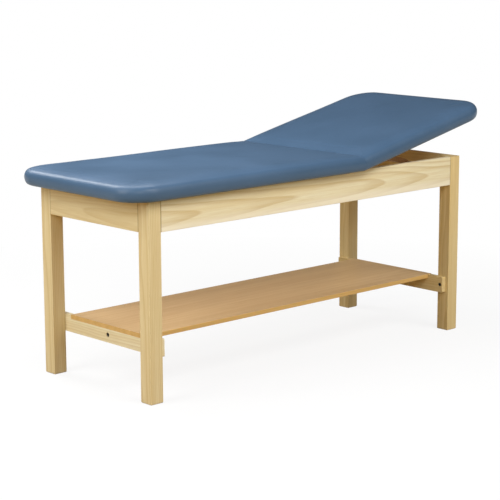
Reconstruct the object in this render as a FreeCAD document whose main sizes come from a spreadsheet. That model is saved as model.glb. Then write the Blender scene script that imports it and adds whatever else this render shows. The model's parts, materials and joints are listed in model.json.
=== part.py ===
import FreeCAD, Part
import math
import os
import re

import Sketcher

# Examination table: a wooden frame on four legs with a shelf, a flat padded section
# and a padded backrest that tilts on hinges and is held by a prop on notched racks.
# +X points to the head end, +Y to the far side, +Z up, with the floor at zero.
# "Near" is the long side at -Y, "foot" the end at -X.

Vector = FreeCAD.Vector
doc = FreeCAD.newDocument("examination_table")
sheet = doc.addObject("Spreadsheet::Sheet", "sizes")

# Driving dimensions, in millimetres and degrees
SIZES = {
    # legs and aprons
    "leg_height": 702,
    "leg_side": 54,
    "leg_chamfer": 3,
    "edge_round": 1.5,
    "frame_length": 1590,
    "frame_width": 602,
    "frame_shift": -13.79,
    "apron_height": 112,
    "apron_thick": 22,
    "dowel_radius": 5,
    "dowel_length": 50,
    "dowel_inset": 28,
    "fit_clear": 0.05,
    # corner blocks
    "block_thick": 26,
    "block_height": 70,
    "block_drop": 22,
    "block_clear": 2,
    "hanger_radius": 4,
    "hanger_depth": 35,
    "hanger_tail": 4,
    "nut_radius": 7.5,
    "nut_height": 6.5,
    # lower rails, stretcher and shelf
    "rail_bottom": 156,
    "rail_height": 63,
    "rail_thick": 20,
    "rail_inset": 14,
    "rail_round": 4,
    "notch_depth": 14,
    "shelf_width": 426,
    "shelf_thick": 16,
    "shelf_clear": 1,
    "stretcher_thick": 25,
    "bolt_radius": 4,
    "bolt_head_radius": 6.5,
    "bolt_head_height": 5,
    "bolt_sink": 1.5,
    "bolt_seat_radius": 8,
    "socket_radius": 3.4,
    "socket_depth": 3.5,
    "insert_radius": 6,
    "insert_length": 20,
    "stretcher_bolt_height": 28,
    "barrel_nut_radius": 6,
    "barrel_nut_depth": 35,
    "barrel_nut_inset": 3,
    # top sections
    "pad_width": 686,
    "pad_thick": 60,
    "pad_wrap": 24,
    "pad_draw": 14,
    "pad_bulge": 27,
    "pad_roll": 24,
    "crown_rise": 6,
    "corner_round": 110,
    "crown_corner": 22,
    "board_thick": 15,
    "board_gap": 15,
    "soft_clear": 0.3,
    "foot_overhang": 94,
    "back_length": 724,
    "cleat_side": 20,
    "cleat_start": 110,
    # hinges
    "hinge_offset": 216,
    "back_angle": 12.6,
    "back_angle_max": 50,
    "crease_clear": 1,
    "seat_clear": 0.3,
    "hinge_inset": 74,
    "barrel_radius": 5,
    "knuckle_gap": 0.4,
    "leaf_length": 90,
    "leaf_width": 42,
    "leaf_thick": 2,
    "leaf_screw_pitch": 30,
    "pin_radius": 2.5,
    "pin_clear": 0.05,
    "hinge_rail_thick": 24,
    "hinge_rail_height": 90,
    "angle_side": 40,
    "angle_thick": 3,
    "angle_height": 50,
    "angle_lift": 8,
    "angle_screw_inset": 12,
    # prop and racks
    "prop_margin": 37,
    "pivot_drop": 18,
    "path_slope": 4,
    "pivot_radius": 5,
    "rod_radius": 6,
    "rod_clear": 0.3,
    "rod_overrun": 8,
    "arm_width": 22,
    "arm_thick": 5,
    "arm_gap": 0.5,
    "bracket_spread": 80,
    "bracket_length": 54,
    "bracket_flange": 34,
    "bracket_thick": 3,
    "bracket_screw_spread": 16,
    "ear_radius": 12,
    "rivet_radius": 8,
    "rivet_height": 2,
    "rack_spread": 120,
    "rack_thick": 22,
    "rack_height": 46,
    "tooth_pitch": 29,
    "tooth_depth": 5,
    "tooth_room": 0.5,
    "tooth_ramp": 45,
    # wood screws
    "screw_radius": 2,
    "screw_head_radius": 4,
    "screw_head_height": 2,
    "screw_length": 12,
    "cleat_screw_length": 30,
}
# Counts
KNUCKLES = 5
TEETH = 6
CLEAT_SCREWS = 4
# Stations of a pad's section: up the drawn-in side and over the roll in degrees,
# then over the crown as shares of its run
UNDER_ANGLES = (0, 30, 60)
ROLL_ANGLES = (0, 20, 40, 60, 78)
CROWN_SHARES = (0.15, 0.4, 1)
# Lengths below this count as none
TINY = 1e-6

for row, (name, size) in enumerate(SIZES.items(), start=1):
    sheet.set(f"A{row}", name)
    sheet.set(f"B{row}", str(size))
    sheet.setAlias(f"B{row}", name)
doc.recompute()

# Directions as a turn about an axis, which takes +Z to the direction named
UP = ("0; 0; 1", "0")
HEADWARD = ("0; 1; 0", "90")
FOOTWARD = ("0; 1; 0", "-90")
FARWARD = ("1; 0; 0", "-90")
NEARWARD = ("1; 0; 0", "90")
BACK_UP = ("0; -1; 0", "back_angle")

# Places worked out from the driving dimensions
HINGE_SEAT = "(barrel_radius + knuckle_gap)"
HINGE_X = "(frame_shift + hinge_offset)"
HINGE_Z = f"(leg_height + seat_clear - {HINGE_SEAT})"
HINGE_RAIL_X = f"({HINGE_X} - {HINGE_SEAT} - hinge_rail_thick)"
APRON_Z = "(leg_height - apron_height)"
INNER_Y = "(frame_width / 2 - apron_thick)"
LEG_INNER = "(frame_length / 2 - leg_side)"
SHELF_Z = "(rail_bottom + rail_height - notch_depth)"
RACK_END = "(frame_length / 2 - apron_thick - hinge_offset)"
PIVOT_REACH = f"(({RACK_END} - prop_margin) / 2)"
PIVOT_RADIUS = f"sqrt({PIVOT_REACH} ^ 2 + pivot_drop ^ 2)"
PIVOT_ANGLE = f"(back_angle * 1deg - atan(pivot_drop / {PIVOT_REACH}))"
FOOT_TRAVEL = f"2 * {PIVOT_RADIUS} * cos({PIVOT_ANGLE} + path_slope * 1deg)"
PROP_ANGLE = f"({PIVOT_ANGLE} + 2 * path_slope * 1deg)"
ARM_Y = "(bracket_spread + bracket_thick / 2 + arm_gap)"
ENDS = {"foot": -1, "head": 1}
SIDES = {"near": -1, "far": 1}

nodes = {}
bores = {}


def bind(text):
    """Write an expression in the sheet's terms: every size named in it becomes its cell."""
    return re.sub(r"[a-z_]+", lambda word: f"sizes.{word[0]}" if word[0] in SIZES else word[0], text)


def number(text):
    """The present value of an expression."""
    value = sheet.evalExpression(bind(text))
    return float(getattr(value, "Value", value))


def place(piece, x, y, z, direction=UP):
    """Tie a piece's placement to the sheet."""
    axis, turn = direction
    piece.setExpression(
        "Placement",
        bind(
            f"create(<<placement>>; create(<<vector>>; {x}; {y}; {z}); "
            f"create(<<rotation>>; create(<<vector>>; {axis}); {turn}))"
        ),
    )
    return piece


def on_back(along, across, above):
    """A point of the backrest, given from the hinge axis with the backrest flat."""
    x = f"{HINGE_X} + ({along}) * cos(back_angle) - ({above}) * sin(back_angle)"
    z = f"{HINGE_Z} + ({along}) * sin(back_angle) + ({above}) * cos(back_angle)"
    return x, across, z


def node(piece, label):
    piece.Label = label
    nodes[label] = piece
    return piece


# Sketch and feature helpers
def origin_feature(body, role):
    return next(item for item in body.Origin.OriginFeatures if item.Role == role)


def sketch_on(body, plane, lift=None):
    sketch = body.newObject("Sketcher::SketchObject", "outline")
    sketch.AttachmentSupport = (origin_feature(body, plane), [""])
    sketch.MapMode = "FlatFace"
    if lift:
        sketch.setExpression("AttachmentOffset.Base.z", bind(lift))
    return sketch


def size_constraint(sketch, text, *constraint):
    index = sketch.addConstraint(Sketcher.Constraint(*constraint, number(text)))
    sketch.setExpression(f"Constraints[{index}]", bind(text))


def tie(sketch, line, point, x=None, y=None):
    """Tie a point of the sketch to a distance from each axis."""
    for kind, text, axis in (("DistanceX", x, -2), ("DistanceY", y, -1)):
        if text is None:
            continue
        value = number(text)
        if abs(value) < TINY:
            sketch.addConstraint(Sketcher.Constraint("PointOnObject", line, point, axis))
        elif value > 0:
            size_constraint(sketch, text, kind, -1, 1, line, point)
        else:
            size_constraint(sketch, f"-({text})", kind, line, point, -1, 1)


def polygon(sketch, corners):
    points = [Vector(number(x), number(y), 0) for x, y in corners]
    lines = [
        sketch.addGeometry(Part.LineSegment(start, end), False)
        for start, end in zip(points, points[1:] + points[:1])
    ]
    for line, following in zip(lines, lines[1:] + lines[:1]):
        sketch.addConstraint(Sketcher.Constraint("Coincident", line, 2, following, 1))
    for line, (x, y) in zip(lines, corners):
        tie(sketch, line, 1, x, y)


def pad(body, sketch, length):
    feature = body.newObject("PartDesign::Pad", "pad")
    feature.Profile = sketch
    feature.setExpression("Length", bind(length))
    body.Tip = feature
    return feature


def straight_edges(shape, direction):
    """Names of the straight edges that run along a direction."""
    return [
        f"Edge{index}"
        for index, edge in enumerate(shape.Edges, start=1)
        if isinstance(edge.Curve, Part.Line) and edge.Curve.Direction.cross(direction).Length < TINY
    ]


def dress(body, kind, size_property, size, edges):
    """Add a fillet or a chamfer to the named edges of a body."""
    base = body.Tip
    feature = body.newObject(f"PartDesign::{kind}", kind.lower())
    feature.Base = (base, edges)
    feature.setExpression(size_property, bind(size))
    body.Tip = feature
    return feature


def bar(label, length, width, height, rounded=None):
    """A squared timber with one corner at its origin and its edges eased along one direction."""
    body = doc.addObject("PartDesign::Body", label)
    sketch = sketch_on(body, "XY_Plane")
    polygon(sketch, [("0", "0"), (length, "0"), (length, width), ("0", width)])
    pad(body, sketch, height)
    if rounded:
        doc.recompute()
        dress(body, "Fillet", "Radius", "edge_round", straight_edges(body.Shape, rounded))
    return node(body, label)


def cylinder(radius, length, x, y, z, direction=UP):
    rod = doc.addObject("Part::Cylinder", "rod")
    rod.setExpression("Radius", bind(radius))
    rod.setExpression("Height", bind(length))
    return place(rod, x, y, z, direction)


def box(length, width, height, x, y, z, direction=UP):
    block = doc.addObject("Part::Box", "block")
    block.setExpression("Length", bind(length))
    block.setExpression("Width", bind(width))
    block.setExpression("Height", bind(height))
    return place(block, x, y, z, direction)


def hexagon(radius, height, z):
    prism = doc.addObject("Part::Prism", "hexagon")
    prism.Polygon = 6
    prism.setExpression("Circumradius", bind(radius))
    prism.setExpression("Height", bind(height))
    return place(prism, "0", "0", z)


def fuse(*pieces):
    joined = doc.addObject("Part::MultiFuse", "joined")
    joined.Shapes = list(pieces)
    return joined


def cut(base, tool):
    result = doc.addObject("Part::Cut", "cut")
    result.Base = base
    result.Tool = tool
    return result


def group(pieces):
    compound = doc.addObject("Part::Compound", "group")
    compound.Links = list(pieces)
    return compound


def bore(label, radius, length, *spot):
    """Note a hole in a piece; drill_all makes it."""
    bores.setdefault(label, []).append(cylinder(radius, length, *spot))


def drill_all():
    for label, tools in bores.items():
        blank = nodes[label]
        blank.Label = f"{label}_blank"
        node(cut(blank, group(tools)), label)


def screw(seat, length, *targets):
    """A wood screw driven along a direction from its seat, and its holes."""
    head = cylinder("screw_head_radius", "screw_head_height", "0", "0", "-screw_head_height")
    shank = cylinder("screw_radius", length, "0", "0", "0")
    for target in targets:
        bore(target, "screw_radius + fit_clear", length, *seat)
    return place(fuse(head, shank), *seat)


def bolt(seat, length):
    """A socket bolt with its head's outer face at the seat and its shank along the direction."""
    head = cylinder("bolt_head_radius", "bolt_head_height", "0", "0", "0")
    shank = cylinder("bolt_radius", length, "0", "0", "bolt_head_height")
    socket = hexagon("socket_radius", "socket_depth", "0")
    return place(cut(fuse(head, shank), socket), *seat)


# Legs and aprons
def make_legs():
    for end, along in ENDS.items():
        for side, across in SIDES.items():
            leg = bar(f"leg_{end}_{side}", "leg_side", "leg_side", "leg_height")
            doc.recompute()
            rim = [
                f"Edge{index}"
                for index, edge in enumerate(leg.Shape.Edges, start=1)
                if edge.BoundBox.ZMax < TINY
            ]
            dress(leg, "Chamfer", "Size", "leg_chamfer", rim)
            doc.recompute()
            dress(leg, "Fillet", "Radius", "edge_round", straight_edges(leg.Shape, Vector(0, 0, 1)))
            x = f"frame_shift + {along} * (frame_length - leg_side) / 2 - leg_side / 2"
            y = f"{across} * (frame_width - leg_side) / 2 - leg_side / 2"
            place(leg, x, y, "0")


def make_aprons():
    for side, across in SIDES.items():
        span = f"2 * {LEG_INNER}"
        apron = bar(f"side_apron_{side}", span, "apron_thick", "apron_height", Vector(1, 0, 0))
        y = f"{across} * (frame_width - apron_thick) / 2 - apron_thick / 2"
        place(apron, f"frame_shift - {LEG_INNER}", y, APRON_Z)
    for end, along in ENDS.items():
        span = "(frame_width - 2 * leg_side)"
        apron = bar(f"end_apron_{end}", "apron_thick", span, "apron_height", Vector(0, 1, 0))
        x = f"frame_shift + {along} * (frame_length - apron_thick) / 2 - apron_thick / 2"
        place(apron, x, f"-{span} / 2", APRON_Z)


def make_dowels():
    """Dowels across each butt joint, half in the apron and half in the leg."""
    dowels = []
    hole_radius = "dowel_radius + fit_clear"
    for end, along in ENDS.items():
        for side, across in SIDES.items():
            for height in ("dowel_inset", "apron_height - dowel_inset"):
                z = f"{APRON_Z} + {height}"
                side_x = f"frame_shift + {along} * {LEG_INNER} - dowel_length / 2"
                side_y = f"{across} * (frame_width - apron_thick) / 2"
                end_x = f"frame_shift + {along} * (frame_length - apron_thick) / 2"
                end_y = f"{across} * (frame_width / 2 - leg_side) - dowel_length / 2"
                joints = (
                    ((side_x, side_y, z, HEADWARD), f"side_apron_{side}"),
                    ((end_x, end_y, z, FARWARD), f"end_apron_{end}"),
                )
                for spot, apron in joints:
                    dowels.append(cylinder("dowel_radius", "dowel_length", *spot))
                    bore(apron, hole_radius, "dowel_length", *spot)
                    bore(f"leg_{end}_{side}", hole_radius, "dowel_length", *spot)
    node(group(dowels), "apron_dowels")


def make_corner_blocks():
    """A diagonal block in each corner, drawn to its leg by a hanger bolt and nut."""
    turns = {("foot", "near"): 0, ("head", "near"): 90, ("head", "far"): 180, ("foot", "far"): 270}
    step = "(leg_side - apron_thick)"
    outer = f"({step} + block_clear * sqrt(2))"
    inner = f"({outer} + block_thick * sqrt(2))"
    block_z = "(leg_height - block_drop - block_height)"
    bolts = []
    nuts = []
    for (end, side), turn in turns.items():
        along = ENDS[end]
        across = SIDES[side]
        label = f"corner_block_{end}_{side}"
        body = doc.addObject("PartDesign::Body", label)
        sketch = sketch_on(body, "XY_Plane")
        corners = [(outer, f"-{step}"), (inner, f"-{step}"), (f"-{step}", inner), (f"-{step}", outer)]
        polygon(sketch, corners)
        pad(body, sketch, "block_height")
        corner_x = f"frame_shift + {along} * {LEG_INNER}"
        corner_y = f"{across} * (frame_width / 2 - leg_side)"
        node(place(body, corner_x, corner_y, block_z, ("0; 0; 1", str(turn))), label)

        toward_leg = (f"{-across}; {along}; 0", "90")
        reach = "(block_clear + block_thick)"

        def spot(distance):
            offset = f"({distance}) / sqrt(2)"
            x = f"{corner_x} - {along} * {offset}"
            return x, f"{corner_y} - {across} * {offset}", f"{block_z} + block_height / 2", toward_leg

        tail = f"({reach} + nut_height + hanger_tail)"
        length = f"{tail} + hanger_depth"
        bolts.append(cylinder("hanger_radius", length, *spot(tail)))
        for target in (label, f"leg_{end}_{side}"):
            bore(target, "hanger_radius + fit_clear", length, *spot(tail))
        nut_bore = cylinder("hanger_radius + fit_clear", "nut_height", "0", "0", "0")
        nut = cut(hexagon("nut_radius", "nut_height", "0"), nut_bore)
        nuts.append(place(nut, *spot(f"{reach} + nut_height")))
    node(group(bolts), "hanger_bolts")
    node(group(nuts), "hanger_nuts")


# Lower rails, stretcher and shelf
def make_lower_rails():
    """Each rail laps the inner faces of two legs and has a notch along its top for the shelf."""
    length = "(frame_width - 2 * rail_inset)"
    notch = "(shelf_width / 2 + shelf_clear)"
    seat = "(rail_height - notch_depth)"
    for end, along in ENDS.items():
        label = f"lower_rail_{end}"
        body = doc.addObject("PartDesign::Body", label)
        sketch = sketch_on(body, "YZ_Plane")
        corners = [
            (f"-{length} / 2", "0"),
            (f"{length} / 2", "0"),
            (f"{length} / 2", "rail_height"),
            (notch, "rail_height"),
            (notch, seat),
            (f"-{notch}", seat),
            (f"-{notch}", "rail_height"),
            (f"-{length} / 2", "rail_height"),
        ]
        polygon(sketch, corners)
        pad(body, sketch, "rail_thick")
        doc.recompute()
        outer_edges = [
            name
            for name in straight_edges(body.Shape, Vector(1, 0, 0))
            if abs(abs(body.Shape.getElement(name).BoundBox.Center.y) - number(length) / 2) < TINY
        ]
        dress(body, "Fillet", "Radius", "rail_round", outer_edges)
        x = f"frame_shift + {along} * ({LEG_INNER} - rail_thick / 2) - rail_thick / 2"
        node(place(body, x, "0", "rail_bottom"), label)


def make_rail_bolts():
    """Bolts from the inner face of each rail into threaded inserts in the legs."""
    bolts = []
    inserts = []
    sunk = "(bolt_sink + bolt_head_height)"
    for end, along in ENDS.items():
        outward = HEADWARD if along > 0 else FOOTWARD
        for side, across in SIDES.items():
            y = f"{across} * (frame_width - leg_side) / 2"
            z = "rail_bottom + rail_height / 2"

            def spot(depth):
                return f"frame_shift + {along} * ({LEG_INNER} - rail_thick + {depth})", y, z, outward

            leg = f"leg_{end}_{side}"
            rail = f"lower_rail_{end}"
            bolts.append(bolt(spot("bolt_sink"), f"rail_thick - {sunk} + insert_length"))
            bore(rail, "bolt_seat_radius", sunk, *spot("0"))
            bore(rail, "bolt_radius + fit_clear", f"rail_thick - {sunk}", *spot(sunk))
            bore(leg, "insert_radius + fit_clear", "insert_length", *spot("rail_thick"))
            sleeve = cylinder("insert_radius", "insert_length", *spot("rail_thick"))
            thread = cylinder("bolt_radius + fit_clear", "insert_length", *spot("rail_thick"))
            inserts.append(cut(sleeve, thread))
    node(group(bolts), "rail_bolts")
    node(group(inserts), "leg_inserts")


def make_stretcher():
    """The stretcher under the shelf, drawn between the rails by a bolt and a barrel nut at each end."""
    span = f"(2 * ({LEG_INNER} - rail_thick))"
    height = "(rail_height - notch_depth)"
    stretcher = bar("centre_stretcher", span, "stretcher_thick", height, Vector(1, 0, 0))
    place(stretcher, f"frame_shift - {span} / 2", "-stretcher_thick / 2", "rail_bottom")
    sunk = "(bolt_sink + bolt_head_height)"
    z = "rail_bottom + stretcher_bolt_height"
    bolts = []
    nuts = []
    for end, along in ENDS.items():
        inward = FOOTWARD if along > 0 else HEADWARD

        def spot(depth):
            return f"frame_shift + {along} * ({LEG_INNER} - {depth})", "0", z, inward

        rail = f"lower_rail_{end}"
        grip = "(barrel_nut_depth + barrel_nut_radius)"
        bolts.append(bolt(spot("bolt_sink"), f"rail_thick - {sunk} + {grip}"))
        bore(rail, "bolt_seat_radius", sunk, *spot("0"))
        bore(rail, "bolt_radius + fit_clear", f"rail_thick - {sunk}", *spot(sunk))
        nut_x = f"frame_shift + {along} * ({LEG_INNER} - rail_thick - barrel_nut_depth)"
        nut_length = "(stretcher_thick - 2 * barrel_nut_inset)"
        nut_spot = (nut_x, f"-{nut_length} / 2", z, FARWARD)
        bore("centre_stretcher", "bolt_radius + fit_clear", grip, *spot("rail_thick"))
        bore("centre_stretcher", "barrel_nut_radius + fit_clear", nut_length, *nut_spot)
        barrel = cylinder("barrel_nut_radius", nut_length, *nut_spot)
        nuts.append(cut(barrel, cylinder("bolt_radius + fit_clear", grip, *spot("rail_thick"))))
    node(group(bolts), "stretcher_bolts")
    node(group(nuts), "stretcher_nuts")


def make_shelf():
    shelf = bar("shelf", f"2 * {LEG_INNER}", "shelf_width", "shelf_thick", Vector(1, 0, 0))
    place(shelf, f"frame_shift - {LEG_INNER}", "-shelf_width / 2", SHELF_Z)


# Boards and pads of the two top sections, drawn from the hinge axis to the rounded end
def rounded_plan(sketch, start, end, half_width, corner):
    """A plan that is square at its start and has two rounded corners at its end."""
    x0, x1, half, radius = (number(text) for text in (start, end, half_width, corner))
    quarter = math.pi / 2
    near = Part.LineSegment(Vector(x0, -half, 0), Vector(x1 - radius, -half, 0))
    near_circle = Part.Circle(Vector(x1 - radius, radius - half, 0), Vector(0, 0, 1), radius)
    end_line = Part.LineSegment(Vector(x1, radius - half, 0), Vector(x1, half - radius, 0))
    far_circle = Part.Circle(Vector(x1 - radius, half - radius, 0), Vector(0, 0, 1), radius)
    far = Part.LineSegment(Vector(x1 - radius, half, 0), Vector(x0, half, 0))
    start_line = Part.LineSegment(Vector(x0, half, 0), Vector(x0, -half, 0))
    edges = [
        near,
        Part.ArcOfCircle(near_circle, 3 * quarter, 4 * quarter),
        end_line,
        Part.ArcOfCircle(far_circle, 0, quarter),
        far,
        start_line,
    ]
    drawn = [sketch.addGeometry(edge, False) for edge in edges]
    near, near_arc, end_line, far_arc, far, start_line = drawn
    for line, following in zip(drawn[:4], drawn[1:5]):
        sketch.addConstraint(Sketcher.Constraint("Tangent", line, 2, following, 1))
    for line, following in ((far, start_line), (start_line, near)):
        sketch.addConstraint(Sketcher.Constraint("Coincident", line, 2, following, 1))
    for line in (near, far):
        sketch.addConstraint(Sketcher.Constraint("Horizontal", line))
    sketch.addConstraint(Sketcher.Constraint("Vertical", end_line))
    for arc in (near_arc, far_arc):
        size_constraint(sketch, corner, "Radius", arc)
    tie(sketch, near, 1, start, f"-({half_width})")
    tie(sketch, start_line, 1, start, half_width)
    tie(sketch, end_line, 1, end)


def make_board(label, length):
    body = doc.addObject("PartDesign::Body", label)
    sketch = sketch_on(body, "XY_Plane")
    rounded_plan(
        sketch, "board_gap", f"{length} - pad_wrap", "pad_width / 2 - pad_wrap", "corner_round - pad_wrap"
    )
    pad(body, sketch, "board_thick")
    return node(body, label)


def make_pad(label, length):
    """A cushion over its board: drawn in below, rolled round at the side, crowned on top.

    Its end at the crease slopes by half the backrest's travel, so the two meet only at the limit.
    """
    body = doc.addObject("PartDesign::Body", label)
    levels = []
    for angle in UNDER_ANGLES:
        height = f"(soft_clear + (pad_bulge - soft_clear) * (1 - cos({angle})))"
        levels.append((height, f"pad_draw * (1 - sin({angle}))"))
    roll_height = "(pad_thick - crown_rise - pad_bulge)"
    for angle in ROLL_ANGLES:
        height = f"(pad_bulge + {roll_height} * sin({angle}))"
        levels.append((height, f"pad_roll * (1 - cos({angle}))"))
    crown_run = "(corner_round - crown_corner - pad_roll)"
    for share in CROWN_SHARES:
        height = f"(pad_thick - crown_rise * (1 - {share}) ^ 2)"
        levels.append((height, f"(pad_roll + {share} * {crown_run})"))
    sections = []
    for height, inset in levels:
        sketch = sketch_on(body, "XY_Plane", height)
        crease = f"({HINGE_SEAT} + {height}) * tan(back_angle_max / 2) + crease_clear"
        rounded_plan(
            sketch, crease, f"{length} - {inset}", f"pad_width / 2 - {inset}", f"corner_round - {inset}"
        )
        sections.append(sketch)
    loft = body.newObject("PartDesign::AdditiveLoft", "loft")
    loft.Profile = sections[0]
    loft.Sections = sections[1:]
    loft.Ruled = True
    body.Tip = loft

    recess = sketch_on(body, "XY_Plane")
    rounded_plan(
        recess,
        "board_gap - soft_clear",
        f"{length} - pad_wrap + soft_clear",
        "pad_width / 2 - pad_wrap + soft_clear",
        "corner_round - pad_wrap + soft_clear",
    )
    pocket = body.newObject("PartDesign::Pocket", "recess")
    pocket.Profile = recess
    pocket.Reversed = True
    pocket.setExpression("Length", bind("board_thick + soft_clear"))
    body.Tip = pocket
    return node(body, label)


def make_top():
    flat_length = "(hinge_offset + frame_length / 2 + foot_overhang)"
    turned = ("0; 0; 1", "180")
    place(make_board("flat_board", flat_length), HINGE_X, "0", "leg_height", turned)
    place(make_pad("flat_pad", flat_length), HINGE_X, "0", "leg_height", turned)
    place(make_board("backrest_board", "back_length"), *on_back("0", "0", HINGE_SEAT), BACK_UP)
    place(make_pad("backrest_pad", "back_length"), *on_back("0", "0", HINGE_SEAT), BACK_UP)


def make_cleats():
    """Cleats along the side aprons, through which the flat board is screwed from below."""
    start = f"(frame_shift - {LEG_INNER} + cleat_start)"
    length = f"({HINGE_RAIL_X} - {start})"
    screws = []
    for side, across in SIDES.items():
        label = f"top_cleat_{side}"
        cleat = bar(label, length, "cleat_side", "cleat_side", Vector(1, 0, 0))
        middle = f"{across} * ({INNER_Y} - cleat_side / 2)"
        place(cleat, start, f"{middle} - cleat_side / 2", "leg_height - cleat_side")
        for index in range(CLEAT_SCREWS):
            x = f"{start} + {length} * {(index + 0.5) / CLEAT_SCREWS}"
            seat = (x, middle, "leg_height - cleat_side", UP)
            screws.append(screw(seat, "cleat_screw_length", label, "flat_board"))
    node(group(screws), "cleat_screws")


# Hinge rail, its angle brackets and the hinges
def make_hinge_rail():
    rail = bar("hinge_rail", "hinge_rail_thick", f"2 * {INNER_Y}", "hinge_rail_height")
    place(rail, HINGE_RAIL_X, f"-{INNER_Y}", "leg_height - hinge_rail_height")
    screws = []
    bracket_z = "leg_height - hinge_rail_height + angle_lift"
    for side, across in SIDES.items():
        label = f"rail_angle_{side}"
        body = doc.addObject("PartDesign::Body", label)
        sketch = sketch_on(body, "XY_Plane")
        corners = [
            ("0", "0"),
            ("angle_side", "0"),
            ("angle_side", "angle_thick"),
            ("angle_thick", "angle_thick"),
            ("angle_thick", "angle_side"),
            ("0", "angle_side"),
        ]
        polygon(sketch, corners)
        pad(body, sketch, "angle_height")
        turn = "90" if across < 0 else "180"
        node(place(body, HINGE_RAIL_X, f"{across} * {INNER_Y}", bracket_z, ("0; 0; 1", turn)), label)
        outward = NEARWARD if across < 0 else FARWARD
        reach = "(angle_side + angle_thick) / 2"
        rail_spot = (f"{HINGE_RAIL_X} - angle_thick", f"{across} * ({INNER_Y} - {reach})")
        apron_spot = (f"{HINGE_RAIL_X} - {reach}", f"{across} * ({INNER_Y} - angle_thick)")
        for height in ("angle_screw_inset", "angle_height - angle_screw_inset"):
            z = f"{bracket_z} + {height}"
            rail_seat = (*rail_spot, z, HEADWARD)
            apron_seat = (*apron_spot, z, outward)
            screws.append(screw(rail_seat, "screw_length", label, "hinge_rail"))
            screws.append(screw(apron_seat, "screw_length", label, f"side_apron_{side}"))
    node(group(screws), "angle_screws")


def make_leaf(label, knuckles, moving, *spot):
    """One leaf of a butt hinge, drawn about the hinge axis: a plate with every other knuckle."""
    pitch = f"(leaf_length / {KNUCKLES})"
    plate = f"(leaf_width - {HINGE_SEAT})"
    inner = f"({HINGE_SEAT} - leaf_thick)"
    start = "-leaf_length / 2"
    if moving:
        pieces = [box(plate, "leaf_length", "leaf_thick", HINGE_SEAT, start, inner)]
    else:
        pieces = [box("leaf_thick", "leaf_length", plate, f"-{HINGE_SEAT}", start, "-leaf_width")]
    for knuckle in knuckles:
        y = f"{start} + {knuckle} * {pitch} + knuckle_gap / 2"
        width = f"{pitch} - knuckle_gap"
        if moving:
            pieces.append(box(HINGE_SEAT, width, "leaf_thick", "0", y, inner))
        else:
            pieces.append(box("leaf_thick", width, HINGE_SEAT, f"-{HINGE_SEAT}", y, f"-{HINGE_SEAT}"))
        pieces.append(cylinder("barrel_radius", width, "0", y, "0", FARWARD))
    eye = cylinder("pin_radius + pin_clear", "leaf_length", "0", start, "0", FARWARD)
    return node(place(cut(fuse(*pieces), eye), *spot), label)


def make_hinges():
    fixed_screws = []
    moving_screws = []
    middle = f"({HINGE_SEAT} + leaf_width) / 2"
    face = f"({HINGE_SEAT} - leaf_thick)"
    for side, across in SIDES.items():
        y = f"{across} * ({INNER_Y} - hinge_inset)"
        fixed = f"hinge_fixed_leaf_{side}"
        moving = f"hinge_moving_leaf_{side}"
        make_leaf(fixed, range(0, KNUCKLES, 2), False, HINGE_X, y, HINGE_Z)
        make_leaf(moving, range(1, KNUCKLES, 2), True, *on_back("0", y, "0"), BACK_UP)
        pin = cylinder("pin_radius", "leaf_length", HINGE_X, f"{y} - leaf_length / 2", HINGE_Z, FARWARD)
        node(pin, f"hinge_pin_{side}")
        for place_in_row in (-1, 0, 1):
            screw_y = f"{y} + {place_in_row} * leaf_screw_pitch"
            fixed_seat = (f"{HINGE_X} - {face}", screw_y, f"{HINGE_Z} - {middle}", FOOTWARD)
            fixed_screws.append(screw(fixed_seat, "screw_length", fixed, "hinge_rail"))
            moving_seat = (*on_back(middle, screw_y, face), BACK_UP)
            moving_screws.append(screw(moving_seat, "screw_length", moving, "backrest_board"))
    node(group(fixed_screws), "hinge_fixed_screws")
    node(group(moving_screws), "hinge_moving_screws")


# Prop and racks: hinge, pivot and foot rod make an isosceles triangle, so the foot rod
# runs on a straight line through the hinge axis that slopes down to the head end.
def make_prop_brackets():
    screws = []
    plate_z = f"({HINGE_SEAT} - bracket_thick)"
    for side, across in SIDES.items():
        label = f"prop_bracket_{side}"
        ear_y = f"{across} * bracket_spread - bracket_thick / 2"
        flange_middle = f"{across} * (bracket_spread + bracket_thick / 2 - bracket_flange / 2)"
        flange_y = f"{flange_middle} - bracket_flange / 2"
        flange_spot = (f"{PIVOT_REACH} - bracket_length / 2", flange_y, plate_z)
        flange = box("bracket_length", "bracket_flange", "bracket_thick", *flange_spot)
        ear_spot = (f"{PIVOT_REACH} - ear_radius", ear_y, "-pivot_drop")
        ear = box("2 * ear_radius", "bracket_thick", f"pivot_drop + {plate_z}", *ear_spot)
        eye_spot = (PIVOT_REACH, ear_y, "-pivot_drop", FARWARD)
        tip = cylinder("ear_radius", "bracket_thick", *eye_spot)
        eye = cylinder("pivot_radius", "bracket_thick", *eye_spot)
        node(place(cut(fuse(flange, ear, tip), eye), *on_back("0", "0", "0"), BACK_UP), label)
        for step in (-1, 1):
            spot = on_back(
                f"{PIVOT_REACH} + {step} * bracket_screw_spread",
                f"{across} * (bracket_spread - bracket_flange / 2)",
                plate_z,
            )
            screws.append(screw((*spot, BACK_UP), "screw_length", label, "backrest_board"))
    node(group(screws), "bracket_screws")


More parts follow.
